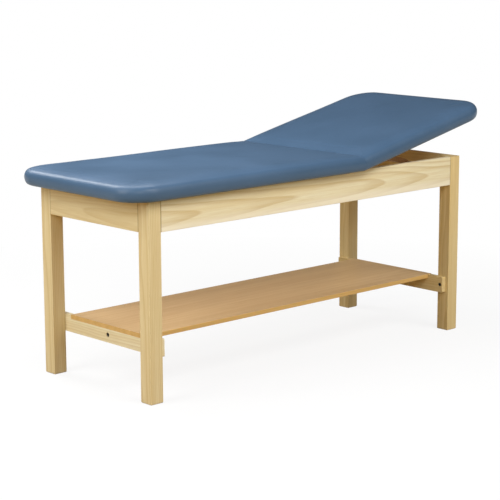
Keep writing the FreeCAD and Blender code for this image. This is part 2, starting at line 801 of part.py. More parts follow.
def make_prop():
    arm_reach = f"({ARM_Y} + arm_thick + arm_gap)"
    axle = cylinder("pivot_radius", f"2 * {arm_reach}", "0", f"-{arm_reach}", "0", FARWARD)
    near_head = cylinder("rivet_radius", "rivet_height", "0", f"-{arm_reach} - rivet_height", "0", FARWARD)
    far_head = cylinder("rivet_radius", "rivet_height", "0", arm_reach, "0", FARWARD)
    pivot = on_back(PIVOT_REACH, "0", "-pivot_drop")
    node(place(fuse(axle, near_head, far_head), *pivot), "prop_pivot_rod")

    swing = ("0; 1; 0", PROP_ANGLE)
    half = "(arm_width / 2)"
    for side, across in SIDES.items():
        label = f"prop_arm_{side}"
        body = doc.addObject("PartDesign::Body", label)
        sketch = sketch_on(body, "XZ_Plane")
        reach = number(PIVOT_RADIUS)
        radius = number(half)
        quarter = math.pi / 2
        up = Vector(0, 0, 1)
        foot = Vector(reach, 0, 0)
        side_step = Vector(0, radius, 0)
        edges = (
            Part.ArcOfCircle(Part.Circle(Vector(), up, radius), quarter, 3 * quarter),
            Part.LineSegment(-side_step, foot - side_step),
            Part.ArcOfCircle(Part.Circle(foot, up, radius), -quarter, quarter),
            Part.LineSegment(foot + side_step, side_step),
        )
        drawn = [sketch.addGeometry(edge, False) for edge in edges]
        pivot_arc, _, foot_arc, _ = drawn
        for edge, following in zip(drawn, drawn[1:] + drawn[:1]):
            sketch.addConstraint(Sketcher.Constraint("Tangent", edge, 2, following, 1))
        sketch.addConstraint(Sketcher.Constraint("Coincident", pivot_arc, 3, -1, 1))
        tie(sketch, foot_arc, 3, PIVOT_RADIUS, "0")
        size_constraint(sketch, half, "Radius", pivot_arc)
        for centre, arc, hole in (
            (Vector(), pivot_arc, "pivot_radius + pin_clear"),
            (foot, foot_arc, "rod_radius"),
        ):
            circle = sketch.addGeometry(Part.Circle(centre, up, number(hole)), False)
            sketch.addConstraint(Sketcher.Constraint("Coincident", circle, 3, arc, 3))
            size_constraint(sketch, hole, "Radius", circle)
        pad(body, sketch, "arm_thick")
        x, _, z = pivot
        node(place(body, x, f"{across} * ({ARM_Y} + arm_thick / 2) + arm_thick / 2", z, swing), label)

    half_rod = "(rack_spread + rack_thick / 2 + rod_overrun)"
    rod_x = f"{HINGE_X} + {FOOT_TRAVEL} * cos(path_slope)"
    rod_z = f"{HINGE_Z} - {FOOT_TRAVEL} * sin(path_slope)"
    rod = cylinder("rod_radius", f"2 * {half_rod}", rod_x, f"-{half_rod}", rod_z, FARWARD)
    node(rod, "prop_foot_rod")


def make_rack(label, across):
    """A bar under the foot rod's path, cut to fit between the hinge rail and the head end apron."""
    body = doc.addObject("PartDesign::Body", label)
    sketch = sketch_on(body, "XZ_Plane")
    top = "(-rod_radius - rod_clear)"
    bottom = f"({top} - rack_height)"
    hinge_end = f"(-{HINGE_SEAT})"

    def corner(end, level):
        return f"({end} - {level} * sin(path_slope)) / cos(path_slope)", level

    corners = [
        corner(hinge_end, bottom),
        corner(RACK_END, bottom),
        corner(RACK_END, top),
        corner(hinge_end, top),
    ]
    polygon(sketch, corners)
    bar_pad = pad(body, sketch, "rack_thick")
    doc.recompute()
    whole = bar_pad.Shape.Volume

    tooth = sketch_on(body, "XZ_Plane")
    seat_radius = "(rod_radius + tooth_room)"
    seat_level = f"({top} - tooth_depth)"
    radius = number(seat_radius)
    ramp = math.radians(number("tooth_ramp"))
    centre = Vector(number(FOOT_TRAVEL), number(seat_level), 0)
    land = number(top)
    circle = Part.Circle(centre, Vector(0, 0, 1), radius)
    seat = Part.ArcOfCircle(circle, math.pi + ramp, 2 * math.pi)
    ramp_foot = seat.StartPoint
    ramp_top = Vector(ramp_foot.x - (land - ramp_foot.y) / math.tan(ramp), land, 0)
    wall_top = Vector(seat.EndPoint.x, land, 0)
    edges = (
        Part.LineSegment(ramp_top, ramp_foot),
        seat,
        Part.LineSegment(seat.EndPoint, wall_top),
        Part.LineSegment(wall_top, ramp_top),
    )
    slope, seat, wall, lid = (tooth.addGeometry(edge, False) for edge in edges)
    tooth.addConstraint(Sketcher.Constraint("Tangent", slope, 2, seat, 1))
    tooth.addConstraint(Sketcher.Constraint("Tangent", seat, 2, wall, 1))
    tooth.addConstraint(Sketcher.Constraint("Coincident", wall, 2, lid, 1))
    tooth.addConstraint(Sketcher.Constraint("Coincident", lid, 2, slope, 1))
    tooth.addConstraint(Sketcher.Constraint("Vertical", wall))
    tooth.addConstraint(Sketcher.Constraint("Horizontal", lid))
    size_constraint(tooth, seat_radius, "Radius", seat)
    tie(tooth, seat, 3, FOOT_TRAVEL, seat_level)
    tie(tooth, lid, 1, None, top)
    index = tooth.addConstraint(Sketcher.Constraint("Angle", -1, 1, slope, 2, math.pi - ramp))
    tooth.setExpression(f"Constraints[{index}]", bind("180deg - tooth_ramp * 1deg"))
    notch = body.newObject("PartDesign::Pocket", "notch")
    notch.Profile = tooth
    notch.Reversed = True
    notch.setExpression("Length", bind("rack_thick"))
    body.Tip = notch
    doc.recompute()
    if notch.Shape.Volume >= whole:
        raise RuntimeError(f"{label}: the notch cuts nothing")

    row = body.newObject("PartDesign::LinearPattern", "notches")
    row.Originals = [notch]
    row.Direction = (origin_feature(body, "X_Axis"), [""])
    row.Reversed = True
    row.Occurrences = TEETH
    row.setExpression("Length", bind(f"tooth_pitch * {TEETH - 1}"))
    body.Tip = row
    y = f"{across} * rack_spread + rack_thick / 2"
    node(place(body, HINGE_X, y, HINGE_Z, ("0; 1; 0", "path_slope")), label)


def make_racks():
    for side, across in SIDES.items():
        make_rack(f"rack_{side}", across)


def check_and_write():
    doc.recompute()
    failed = [item.Label for item in doc.Objects if {"Invalid", "Error"} & set(item.State)]
    if failed:
        raise RuntimeError(f"failed objects: {failed}")
    for label, piece in nodes.items():
        if piece.Shape.isNull() or not piece.Shape.isValid() or not piece.Shape.Solids:
            raise RuntimeError(f"{label} has no valid solid")
    os.makedirs("parts", exist_ok=True)
    for label, piece in nodes.items():
        piece.Shape.exportStep(f"parts/{label}.step")


make_legs()
make_aprons()
make_dowels()
make_corner_blocks()
make_lower_rails()
make_rail_bolts()
make_stretcher()
make_shelf()
make_top()
make_cleats()
make_hinge_rail()
make_hinges()
make_prop_brackets()
make_prop()
make_racks()
drill_all()
check_and_write()
print(f"{len(nodes)} nodes")
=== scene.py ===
import json
import math

import bmesh
import bpy
import numpy as np
from mathutils import Matrix, Vector


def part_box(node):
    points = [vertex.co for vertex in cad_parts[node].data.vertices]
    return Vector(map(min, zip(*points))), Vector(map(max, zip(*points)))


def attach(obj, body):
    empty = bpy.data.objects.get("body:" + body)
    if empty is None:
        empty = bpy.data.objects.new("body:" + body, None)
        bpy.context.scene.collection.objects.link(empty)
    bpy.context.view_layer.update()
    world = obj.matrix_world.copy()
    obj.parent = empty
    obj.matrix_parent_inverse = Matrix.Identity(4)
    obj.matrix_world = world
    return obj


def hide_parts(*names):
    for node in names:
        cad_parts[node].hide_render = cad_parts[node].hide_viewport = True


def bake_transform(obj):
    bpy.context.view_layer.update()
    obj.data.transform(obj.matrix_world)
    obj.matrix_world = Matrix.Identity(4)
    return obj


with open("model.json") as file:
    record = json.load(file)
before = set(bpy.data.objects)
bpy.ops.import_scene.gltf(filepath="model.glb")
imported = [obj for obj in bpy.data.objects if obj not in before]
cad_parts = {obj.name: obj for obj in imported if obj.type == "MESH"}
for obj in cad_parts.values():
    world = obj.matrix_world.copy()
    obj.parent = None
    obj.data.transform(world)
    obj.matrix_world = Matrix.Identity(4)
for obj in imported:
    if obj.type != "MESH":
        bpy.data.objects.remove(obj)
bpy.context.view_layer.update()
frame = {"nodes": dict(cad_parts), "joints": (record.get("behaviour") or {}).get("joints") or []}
nodes = frame["nodes"]
joints = {joint["name"]: joint for joint in frame["joints"]}

# The photograph's camera
CAMERA_AZIMUTH = math.radians(-42.87)
CAMERA_ELEVATION = math.radians(11.06)
CAMERA_ROLL = math.radians(-0.21)
CAMERA_DISTANCE = 6.170
CAMERA_TARGET = Vector((-0.0707, 0.0, 0.3951))
CAMERA_CLIP_END = 100
FOCAL_PIXELS = 1636.1
IMAGE_PIXELS = 500
SENSOR_WIDTH = 36.0

# Places read from the frame
ENDS = ("foot", "head")
SIDES = ("near", "far")
hinge = Vector(joints["backrest_tilt"]["pos_m"])
REST_ANGLE = math.radians(-joints["backrest_tilt"]["range_deg"][0])
board_low, board_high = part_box("flat_board")
BOARD_THICK = board_high.z - board_low.z
BOARD_LEVEL = board_low.z - hinge.z
FRAME_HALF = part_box("side_apron_far")[1].y

# Pads: their section, from the board's underside up
# The side is drawn in at its lower edge, fullest at the bulge, and rolls over into a gentle crown
PAD_THICK = 0.060
PAD_BULGE = 0.027
PAD_DRAW = 0.014
PAD_ROLL = 0.024
PAD_WRAP = 0.024
CROWN_RISE = 0.006
CROWN_RUN = 0.098
CORNER_ROUND = 0.110
SOFT_CLEAR = 0.0003
ROLL_END = math.radians(76)
UNDER_STEPS = 6
ROLL_STEPS = 9
CROWN_STEPS = 12
ARC_STEPS = 20
MESH_PITCH = 0.010

# The crease: a shallow valley where the two covers press together
CREASE_GAP = 0.0003
CREASE_WRAP = 0.012
CREASE_DEPTH = 0.0045
CREASE_WIDTH = 0.050
CREASE_DIP = 0.0015
CREASE_LIFT = 0.004
SHARP_EDGE = math.radians(50)

# Cloth over foam
CLOTH_FRAMES = 20
CLOTH_QUALITY = 6
CLOTH_MASS = 0.4
CLOTH_STIFFNESS = 40
CLOTH_SHEAR = 20
CLOTH_BENDING = 4
CLOTH_PRESSURE = 4.0
CLOTH_CAP = 0.003
CLOTH_SPREAD = 40

# Vinyl folded under the boards, and its staples, whose sizes are counted in wires
HEM_START = 0.0155
HEM_WIDTH = 0.023
HEM_CLEAR = 0.075
HEM_THICK = 0.0009
HEM_GAP = 0.0001
HEM_RIPPLE = 0.0012
HEM_WAVE = 0.9
HEM_SLOW_WAVE = 0.37
STAPLE_PITCH = 0.038
STAPLE_LINE = 0.6
STAPLE_WIDTH = 0.010
STAPLE_WIRE = 0.0007
STAPLE_FLAT = 1.6
STAPLE_LEG = 1.5
STAPLE_DEPTH = 2
STAPLE_SINK = 0.3


def srgb(red, green, blue):
    """A colour given as it shows on a screen, from 0 to 255."""

    def linear(level):
        share = level / 255
        return share / 12.92 if share <= 0.04045 else ((share + 0.055) / 1.055) ** 2.4

    return linear(red), linear(green), linear(blue), 1.0


# Tones of the timber
PALE_WOOD = srgb(239, 233, 205)
WARM_WOOD = srgb(227, 213, 171)
DARK_WOOD = srgb(188, 156, 94)
SAP_WOOD = srgb(243, 235, 212)
TAN_WOOD = srgb(227, 208, 162)
# Painted shade in the joints at a board's ends
JOINT_SHADE_TONE = srgb(122, 92, 50)
PLAIN_TONES = (PALE_WOOD, WARM_WOOD)
# Leg tones, darker and warmer than the plain ones; on the end aprons they are partly painted shade under the
# overhanging pads
LEG_TONES = (srgb(231, 217, 177), srgb(218, 199, 150))
# Darker, warmer tones for the head legs and the head lower rail: painted shade under the table and shelf
HEAD_SHADED_TONES = (srgb(230, 209, 156), srgb(215, 187, 126))
# Darker copies of the timber for the parts inside the frame: painted shade
INNER_SHADED_TONES = (WARM_WOOD, DARK_WOOD)

# Grain of the timber: noise stretched across, across and along it, and growth rings
GRAIN_ORDER = {"x": ("Y", "Z", "X"), "y": ("X", "Z", "Y"), "z": ("X", "Y", "Z")}
SWAY_STRETCH = (6, 6, 1.3)
STREAK_STRETCH = (55, 55, 1.6)
FIBRE_STRETCH = (900, 900, 14)
PATCH_STRETCH = (14, 14, 1.1)
SWAY_AMOUNT = 0.030
RING_SPACING = 0.007
RING_TAPER = 0.018
RING_FIGURE = 0.28
RING_TONES = ((0.0, 0.0), (0.45, 0.18), (0.82, 0.85), (0.93, 1.0), (1.0, 0.0))
RING_RELIEF = 0.3
SAP_HEIGHT = 0.022
SAP_ABOVE = 0.012
SAP_BELOW = 0.010
SAP_SWAY = 0.7
SAP_SHARE = 0.75
# Painted shade: a fine dark line in the joints at a board's ends
JOINT_SHADE_WIDTH = 0.0022
JOINT_SHADE_SHARE = 0.8

# How far the pith of each timber lies from the board's middle or edge, across the grain
SIDE_PITH = (0.045, 0.050)
SIDE_PITH_STEP = 0.012
END_PITH = (-0.070, 0.030)
END_PITH_STEP = 0.03
RAIL_PITH = (0.050, -0.030)
LEG_PITH = (-0.085, 0.02)
LEG_PITH_STEP = -0.05
BLOCK_PITH = (-0.06, -0.04)
INNER_PITH = (-0.06, -0.03)
DOWEL_PITH = (0.05, 0.5)

# Tones of the other materials
VINYL_BLUE = srgb(67, 92, 118)
VINYL_LIGHT = srgb(73, 98, 125)
VINYL_SPECK = srgb(57, 80, 105)
SHELF_LIGHT = srgb(222, 190, 143)
SHELF_WARM = srgb(211, 176, 127)
SHELF_FIBRE = srgb(172, 132, 86)
BAND_LIGHT = srgb(216, 178, 112)
BAND_WARM = srgb(200, 160, 94)
PLY_LIGHT = srgb(206, 172, 124)
PLY_WARM = srgb(178, 140, 94)
PLY_FIBRE = srgb(140, 104, 66)
OXIDE_BLACK = srgb(34, 32, 30)
OXIDE_WORN = srgb(92, 86, 78)
BRONZE_DARK = srgb(146, 110, 70)
BRONZE_LIGHT = srgb(166, 128, 84)
PLATED_STEEL = (0.56, 0.55, 0.53, 1)
ZINC_STEEL = (0.62, 0.61, 0.56, 1)
STAPLE_STEEL = (0.66, 0.65, 0.62, 1)
BLOTCH_SHADE = 0.72

# Most of a noise lies between these two values
NOISE_LOW = 0.3
NOISE_HIGH = 0.7

# Floor and world
FLOOR_SIZE = 30.0
FLOOR_ROUGHNESS = 0.9
FLOOR_WHITE = (0.9, 0.9, 0.9, 1)
FLOOR_BOUNCE = (0.38, 0.24, 0.06, 1)
SHADOW_GLOW = 0.86
SHADOW_REACH = (1.1, 2.4)
WHITE = (1, 1, 1, 1)
WORLD_STRENGTH = 0.10


# Node helpers
def add(tree, kind, inputs=None, **settings):
    """A node whose inputs are numbers, colours or other nodes' sockets."""
    made = tree.nodes.new(kind)
    for name, value in settings.items():
        setattr(made, name, value)
    for name, value in (inputs or {}).items():
        if isinstance(value, bpy.types.NodeSocket):
            tree.links.new(value, made.inputs[name])
        else:
            made.inputs[name].default_value = value
    return made


def new_material(name, sockets=None):
    """A material with one shader, and the shader's sockets that are the same all over the surface."""
    material = bpy.data.materials.new(name)
    material.use_nodes = True
    tree = material.node_tree
    tree.nodes.clear()
    shader = add(tree, "ShaderNodeBsdfPrincipled", sockets)
    output = tree.nodes.new("ShaderNodeOutputMaterial")
    tree.links.new(shader.outputs["BSDF"], output.inputs["Surface"])
    return material, tree, shader


def object_place(tree):
    return add(tree, "ShaderNodeTexCoord").outputs["Object"]


def math_node(tree, operation, *values):
    return add(tree, "ShaderNodeMath", dict(enumerate(values)), operation=operation).outputs[0]


def map_range(tree, value, start, stop, first, last):
    """A value that runs from first to last while the given one runs from start to stop."""
    return add(tree, "ShaderNodeMapRange", {0: value, 1: start, 2: stop, 3: first, 4: last}).outputs[0]


def mix_colour(tree, factor, first, second):
    return add(tree, "ShaderNodeMix", {0: factor, 6: first, 7: second}, data_type="RGBA").outputs[2]


def ramp(tree, factor, *stops):
    """A colour ramp through (position, grey level) stops."""
    made = add(tree, "ShaderNodeValToRGB", {"Fac": factor})
    elements = made.color_ramp.elements
    while len(elements) < len(stops):
        elements.new(0.5)
    for element, (position, level) in zip(elements, stops):
        element.position = position
        element.color = (level, level, level, 1)
    return made.outputs["Color"]


def noise(tree, vector, scale=1.0, detail=2.0, roughness=0.5):
    inputs = {"Vector": vector, "Scale": scale, "Detail": detail, "Roughness": roughness}
    return add(tree, "ShaderNodeTexNoise", inputs).outputs["Fac"]


def stretched(tree, vector, scale):
    inputs = {0: vector, 1: scale}
    return add(tree, "ShaderNodeVectorMath", inputs, operation="MULTIPLY").outputs["Vector"]


def bump(tree, shader, height, strength, distance, under=None):
    inputs = {"Height": height, "Strength": strength, "Distance": distance}
    if under is not None:
        inputs["Normal"] = under
    made = add(tree, "ShaderNodeBump", inputs)
    tree.links.new(made.outputs["Normal"], shader.inputs["Normal"])
    return made.outputs["Normal"]


def two_tones(tree, factor, first, second):
    """A colour that goes from one tone to another as a noise does."""
    return mix_colour(tree, ramp(tree, factor, (NOISE_LOW, 0.0), (NOISE_HIGH, 1.0)), first, second)


def with_fibres(tree, fibres, share, colour, dark):
    """A colour with fine dark fibres over it."""
    return mix_colour(tree, ramp(tree, fibres, (0.35, share), (0.6, 0.0)), colour, dark)


def set_look(tree, shader, colour, factor, first, last):
    """Link the colour, and a roughness that goes from the first to the last value as a noise does."""
    tree.links.new(colour, shader.inputs["Base Color"])
    roughness = map_range(tree, factor, NOISE_LOW, NOISE_HIGH, first, last)
    tree.links.new(roughness, shader.inputs["Roughness"])


# Materials
def growth_rings(tree, first, second, drift, spacing):
    """Rings about the pith, pale at their start and dark near their end."""
    squares = math_node(tree, "ADD", math_node(tree, "POWER", first, 2), math_node(tree, "POWER", second, 2))
    radius = math_node(tree, "ADD", math_node(tree, "SQRT", squares), drift)
    turn = math_node(tree, "FRACT", math_node(tree, "DIVIDE", radius, spacing))
    return ramp(tree, turn, *RING_TONES)


def joint_shade_line(tree, along, ends):
    """A fine dark line at both ends of a board: painted shade in the joint."""
    low, high = ends
    middle = math_node(tree, "SUBTRACT", along, (low + high) / 2)
    left = math_node(tree, "SUBTRACT", (high - low) / 2, math_node(tree, "ABSOLUTE", middle))
    return map_range(tree, left, JOINT_SHADE_WIDTH / 2, JOINT_SHADE_WIDTH, JOINT_SHADE_SHARE, 0.0)


def wood(
    name,
    grain,
    pith,
    spacing=RING_SPACING,
    taper=RING_TAPER,
    figure=RING_FIGURE,
    sap_level=None,
    ends=None,
    tones=PLAIN_TONES,
):
    """Solid timber: growth rings about a pith that lies along the grain, with streaks and fibres.

    The pith is given across the grain. The rings narrow along it, which draws the arches of flat-sawn
    boards, and the figure is how strongly they show. The wood is paler below the sap level. The ends are
    where the board butts other boards, and a fine line of painted shade shows the joint there.
    """
    material, tree, shader = new_material(name, {"Specular IOR Level": 0.2})
    split = add(tree, "ShaderNodeSeparateXYZ", {0: object_place(tree)})
    first, second, along = (split.outputs[axis] for axis in GRAIN_ORDER[grain])
    first = math_node(tree, "SUBTRACT", first, pith[0])
    second = math_node(tree, "SUBTRACT", second, pith[1])
    across = add(tree, "ShaderNodeCombineXYZ", {0: first, 1: second, 2: along}).outputs[0]

    sway = noise(tree, stretched(tree, across, SWAY_STRETCH))
    sway = math_node(tree, "MULTIPLY", math_node(tree, "SUBTRACT", sway, 0.5), SWAY_AMOUNT)
    drift = math_node(tree, "ADD", sway, math_node(tree, "MULTIPLY", along, taper))
    rings = growth_rings(tree, first, second, drift, spacing)
    streaks = noise(tree, stretched(tree, across, STREAK_STRETCH), detail=3.0, roughness=0.6)
    fibres = noise(tree, stretched(tree, across, FIBRE_STRETCH), roughness=0.6)
    patches = noise(tree, stretched(tree, across, PATCH_STRETCH))

    light, warm = tones
    colour = mix_colour(tree, ramp(tree, streaks, (0.3, 0.0), (0.72, 1.0)), light, warm)
    colour = mix_colour(tree, ramp(tree, patches, (0.45, 0.0), (0.75, 0.55)), colour, TAN_WOOD)
    colour = mix_colour(tree, math_node(tree, "MULTIPLY", rings, figure), colour, DARK_WOOD)
    colour = with_fibres(tree, fibres, 0.22, colour, DARK_WOOD)
    if sap_level is not None:
        height = math_node(tree, "ADD", split.outputs["Z"], math_node(tree, "MULTIPLY", sway, SAP_SWAY))
        pale = map_range(tree, height, sap_level + SAP_ABOVE, sap_level - SAP_BELOW, 0, SAP_SHARE)
        colour = mix_colour(tree, pale, colour, SAP_WOOD)
    if ends is not None:
        # Painted shade in the joints at the board's ends
        colour = mix_colour(tree, joint_shade_line(tree, along, ends), colour, JOINT_SHADE_TONE)
    set_look(tree, shader, colour, fibres, 0.50, 0.40)
    relief = math_node(tree, "ADD", fibres, math_node(tree, "MULTIPLY", rings, RING_RELIEF))
    bump(tree, shader, relief, strength=0.25, distance=0.0004)
    return material


def vinyl():
    """Satin upholstery vinyl: a fine pebbled grain over slightly uneven foam."""
    material, tree, shader = new_material("vinyl", {"Specular IOR Level": 0.25})
    place = object_place(tree)
    patches = noise(tree, place, scale=5.0, detail=3.0)
    specks = noise(tree, place, scale=420.0)
    colour = two_tones(tree, patches, VINYL_BLUE, VINYL_LIGHT)
    colour = mix_colour(tree, ramp(tree, specks, (0.4, 0.0), (0.75, 0.25)), colour, VINYL_SPECK)
    set_look(tree, shader, colour, patches, 0.32, 0.40)
    pebbles = add(tree, "ShaderNodeTexVoronoi", {"Vector": place, "Scale": 650.0}, feature="SMOOTH_F1")
    grain = bump(tree, shader, pebbles.outputs["Distance"], strength=0.12, distance=0.0003)
    foam = noise(tree, place, scale=16.0)
    bump(tree, shader, foam, strength=0.10, distance=0.004, under=grain)
    return material


def laminate():
    """The shelf: a printed wood grain on its faces and a lighter band along its edges."""
    material, tree, shader = new_material("laminate", {"Specular IOR Level": 0.25})
    place = object_place(tree)
    streaks = noise(tree, stretched(tree, place, (1.6, 60, 60)), detail=4.0, roughness=0.6)
    fibres = noise(tree, stretched(tree, place, (9, 480, 480)))
    face = two_tones(tree, streaks, SHELF_LIGHT, SHELF_WARM)
    face = with_fibres(tree, fibres, 0.18, face, SHELF_FIBRE)
    band = two_tones(tree, streaks, BAND_LIGHT, BAND_WARM)
    normal = add(tree, "ShaderNodeNewGeometry").outputs["Normal"]
    facing = add(tree, "ShaderNodeSeparateXYZ", {0: normal}).outputs["Z"]
    on_face = map_range(tree, math_node(tree, "ABSOLUTE", facing), 0.6, 0.9, 0, 1)
    set_look(tree, shader, mix_colour(tree, on_face, band, face), fibres, 0.46, 0.38)
    bump(tree, shader, fibres, strength=0.12, distance=0.0002)
    return material


def plywood():
    """Birch plywood: a streaked veneer with fine fibres."""
    material, tree, shader = new_material("plywood")
    place = object_place(tree)
    streaks = noise(tree, stretched(tree, place, (2.2, 34, 34)), detail=4.0, roughness=0.6)
    fibres = noise(tree, stretched(tree, place, (16, 500, 500)))
    colour = two_tones(tree, streaks, PLY_LIGHT, PLY_WARM)
    colour = with_fibres(tree, fibres, 0.35, colour, PLY_FIBRE)
    set_look(tree, shader, colour, fibres, 0.72, 0.58)
    bump(tree, shader, fibres, strength=0.2, distance=0.0003)
    return material


def metal(name, tone, roughness, stroke):
    """Plated steel with fine strokes of a finish along one axis and slight blotches."""
    material, tree, shader = new_material(name, {"Metallic": 1.0})
    place = object_place(tree)
    strokes = noise(tree, stretched(tree, place, stroke))
    blotches = noise(tree, place, scale=60.0, detail=3.0)
    darker = tuple(level * BLOTCH_SHADE for level in tone[:3]) + (1.0,)
    colour = mix_colour(tree, ramp(tree, blotches, (0.35, 0.0), (0.75, 0.8)), tone, darker)
    set_look(tree, shader, colour, strokes, roughness + 0.08, roughness - 0.06)
    bump(tree, shader, strokes, strength=0.15, distance=0.0001)
    return material


def dark_oxide():
    """Black oxide on bolts, worn a little lighter in patches."""
    material, tree, shader = new_material("dark_oxide", {"Metallic": 0.8})
    wear = noise(tree, object_place(tree), scale=180.0, detail=3.0)
    colour = mix_colour(tree, ramp(tree, wear, (0.5, 0.0), (0.8, 0.6)), OXIDE_BLACK, OXIDE_WORN)
    set_look(tree, shader, colour, wear, 0.5, 0.35)
    return material


def bronze_paint():
    """Bronze paint on the prop, a little uneven and duller where it is lighter."""
    material, tree, shader = new_material("bronze_paint")
    cover = noise(tree, object_place(tree), scale=90.0, detail=3.0)
    colour = mix_colour(tree, ramp(tree, cover, (0.35, 0.0), (0.75, 1.0)), BRONZE_DARK, BRONZE_LIGHT)
    set_look(tree, shader, colour, cover, 0.42, 0.56)
    bump(tree, shader, cover, strength=0.08, distance=0.0003)
    return material


# The CAD nodes and their materials
def paint(names, material):
    for name in names:
        slots = nodes[name].data.materials
        slots.clear()
        slots.append(material)


def paint_side_aprons():
    """The long boards, with wide rings that draw arches and pale sapwood along the lower edge."""
    sap_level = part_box("side_apron_near")[0].z + SAP_HEIGHT
    depth, height = SIDE_PITH
    for index, side in enumerate(SIDES):
        low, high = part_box(f"side_apron_{side}")
        timber = wood(
            f"side_apron_wood_{side}",
            "x",
            pith=((low.y + high.y) / 2 + depth, low.z + height + SIDE_PITH_STEP * index),
            spacing=0.011,
            taper=0.032,
            figure=0.45,
            sap_level=sap_level,
            ends=(low.x, high.x),
        )
        paint([f"side_apron_{side}"], timber)


def paint_end(index, end):
    """One end of the frame: its apron, its lower rail, and its legs with their corner blocks."""
    # The end aprons take the leg tones: the timber's colour, and partly painted shade under the overhanging
    # pads
    low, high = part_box(f"end_apron_{end}")
    pith = (low.x + END_PITH[0], low.z + END_PITH[1] + END_PITH_STEP * index)
    timber = wood(f"end_apron_wood_{end}", "y", pith, taper=0.03, ends=(low.y, high.y), tones=LEG_TONES)
    paint([f"end_apron_{end}"], timber)

    low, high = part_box(f"lower_rail_{end}")
    pith = (high.x + RAIL_PITH[0], low.z + RAIL_PITH[1])
    # The head rail and head legs take darker tones: painted shade under the shelf and table
    tones = HEAD_SHADED_TONES if end == "head" else PLAIN_TONES
    paint([f"lower_rail_{end}"], wood(f"lower_rail_wood_{end}", "y", pith, spacing=0.006, tones=tones))

    tones = HEAD_SHADED_TONES if end == "head" else LEG_TONES
    for side in SIDES:
        low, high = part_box(f"leg_{end}_{side}")
        pith = (low.x + LEG_PITH[0], (low.y + high.y) / 2 + LEG_PITH[1] + LEG_PITH_STEP * index)
        timber = wood(f"leg_wood_{end}_{side}", "z", pith, taper=0.006, figure=0.34, tones=tones)
        paint([f"leg_{end}_{side}"], timber)
        block = f"corner_block_{end}_{side}"
        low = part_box(block)[0]
        pith = (low.y + BLOCK_PITH[0], low.z + BLOCK_PITH[1])
        paint([block], wood(f"block_wood_{end}_{side}", "x", pith))


def paint_timber():
    """Each timber has its own rings, so that no two boards look alike."""
    paint_side_aprons()
    for index, end in enumerate(ENDS):
        paint_end(index, end)
    # The timbers inside the frame take darker tones: painted shade
    for name, grain in (
        ("hinge_rail", "y"),
        ("centre_stretcher", "x"),
        ("top_cleat_near", "x"),
        ("top_cleat_far", "x"),
        ("rack_near", "x"),
        ("rack_far", "x"),
    ):
        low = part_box(name)[0]
        edge = low.x if grain == "y" else low.y
        pith = (edge + INNER_PITH[0], low.z + INNER_PITH[1])
        paint([name], wood(f"{name}_wood", grain, pith, tones=INNER_SHADED_TONES))
    paint(["apron_dowels"], wood("dowel_wood", "x", DOWEL_PITH, spacing=0.004))


def paint_nodes():
    paint_timber()
    paint(["shelf"], laminate())
    paint(["flat_board", "backrest_board"], plywood())
    paint(["rail_bolts", "stretcher_bolts"], dark_oxide())
    bronze = bronze_paint()
    plated = metal("plated_steel", PLATED_STEEL, roughness=0.34, stroke=(40, 900, 900))
    zinc = metal("zinc_steel", ZINC_STEEL, roughness=0.38, stroke=(700, 700, 40))
    for name in nodes:
        if name.startswith(("hinge_fixed_leaf", "hinge_moving_leaf", "hinge_pin", "rail_angle")):
            paint([name], plated)
        elif name.startswith("prop_"):
            paint([name], bronze)
        elif "screws" in name or name in ("leg_inserts", "stretcher_nuts", "hanger_bolts", "hanger_nuts"):
            paint([name], zinc)


# Objects and their points
def new_object(name, data):
    made = bpy.data.objects.new(name, data)
    bpy.context.scene.collection.objects.link(made)
    return made


def mesh_object(name, mesh):
    """An object from a mesh under construction, which is freed."""
    data = bpy.data.meshes.new(name)
    mesh.to_mesh(data)
    mesh.free()
    return new_object(name, data)


def coordinates(data):
    values = np.zeros(len(data.vertices) * 3, np.float32)
    data.vertices.foreach_get("co", values)
    return values.reshape(-1, 3).astype(float)


def set_coordinates(data, points):
    data.vertices.foreach_set("co", points.astype(np.float32).ravel())
    data.update()


# Pads, drawn flat from the hinge axis along +X and then set in place
def pad_rings():
    """The pad's section as (inset at the free sides, height), from its lower edge up to the level crown."""
    rings = []
    for angle in np.linspace(0, math.pi / 2, UNDER_STEPS, endpoint=False):
        height = SOFT_CLEAR + (PAD_BULGE - SOFT_CLEAR) * (1 - math.cos(angle))
        rings.append((PAD_DRAW * (1 - math.sin(angle)), height))
    roll_height = PAD_THICK - CROWN_RISE - PAD_BULGE
    for angle in np.linspace(0, ROLL_END, ROLL_STEPS):
        rings.append((PAD_ROLL * (1 - math.cos(angle)), PAD_BULGE + roll_height * math.sin(angle)))
    inset, height = rings[-1]
    run = CROWN_RUN - inset
    rise = PAD_THICK - height
    slope = roll_height / PAD_ROLL / math.tan(ROLL_END)
    for share in np.linspace(0, 1, CROWN_STEPS)[1:]:
        rings.append((inset + share * run, height + rise * (1 - (1 - share) ** (slope * run / rise))))
    return rings


def crease_plane(height):
    """Where the two pads meet: the plane through the hinge axis that halves the resting angle."""
    return (height + BOARD_LEVEL) * math.tan(REST_ANGLE / 2) + CREASE_GAP


def crease_distance(height):
    """How far the cover lies from the crease plane: on it, and near the top out over the valley's side."""
    depth = min(1.0, max(0.0, (PAD_THICK - height) / CREASE_DEPTH))
    return CREASE_WIDTH * math.acos(2 * depth - 1) / math.pi


def crease_dip(distance, height):
    """How far the pad's side draws in beside the crease."""
    share = min(1.0, distance / CREASE_WIDTH)
    return CREASE_DIP * (1 + math.cos(math.pi * share)) / 2 * min(1.0, height / PAD_BULGE)


def corner_arcs(end, half, corner, turns):
    """The outline's near and far corner, each as points in the direction from the near to the far side."""
    start = end - corner
    near = [(start + corner * math.sin(turn), -half + corner * (1 - math.cos(turn))) for turn in turns]
    far = [(start + corner * math.cos(turn), half - corner + corner * math.sin(turn)) for turn in turns]
    return near, far


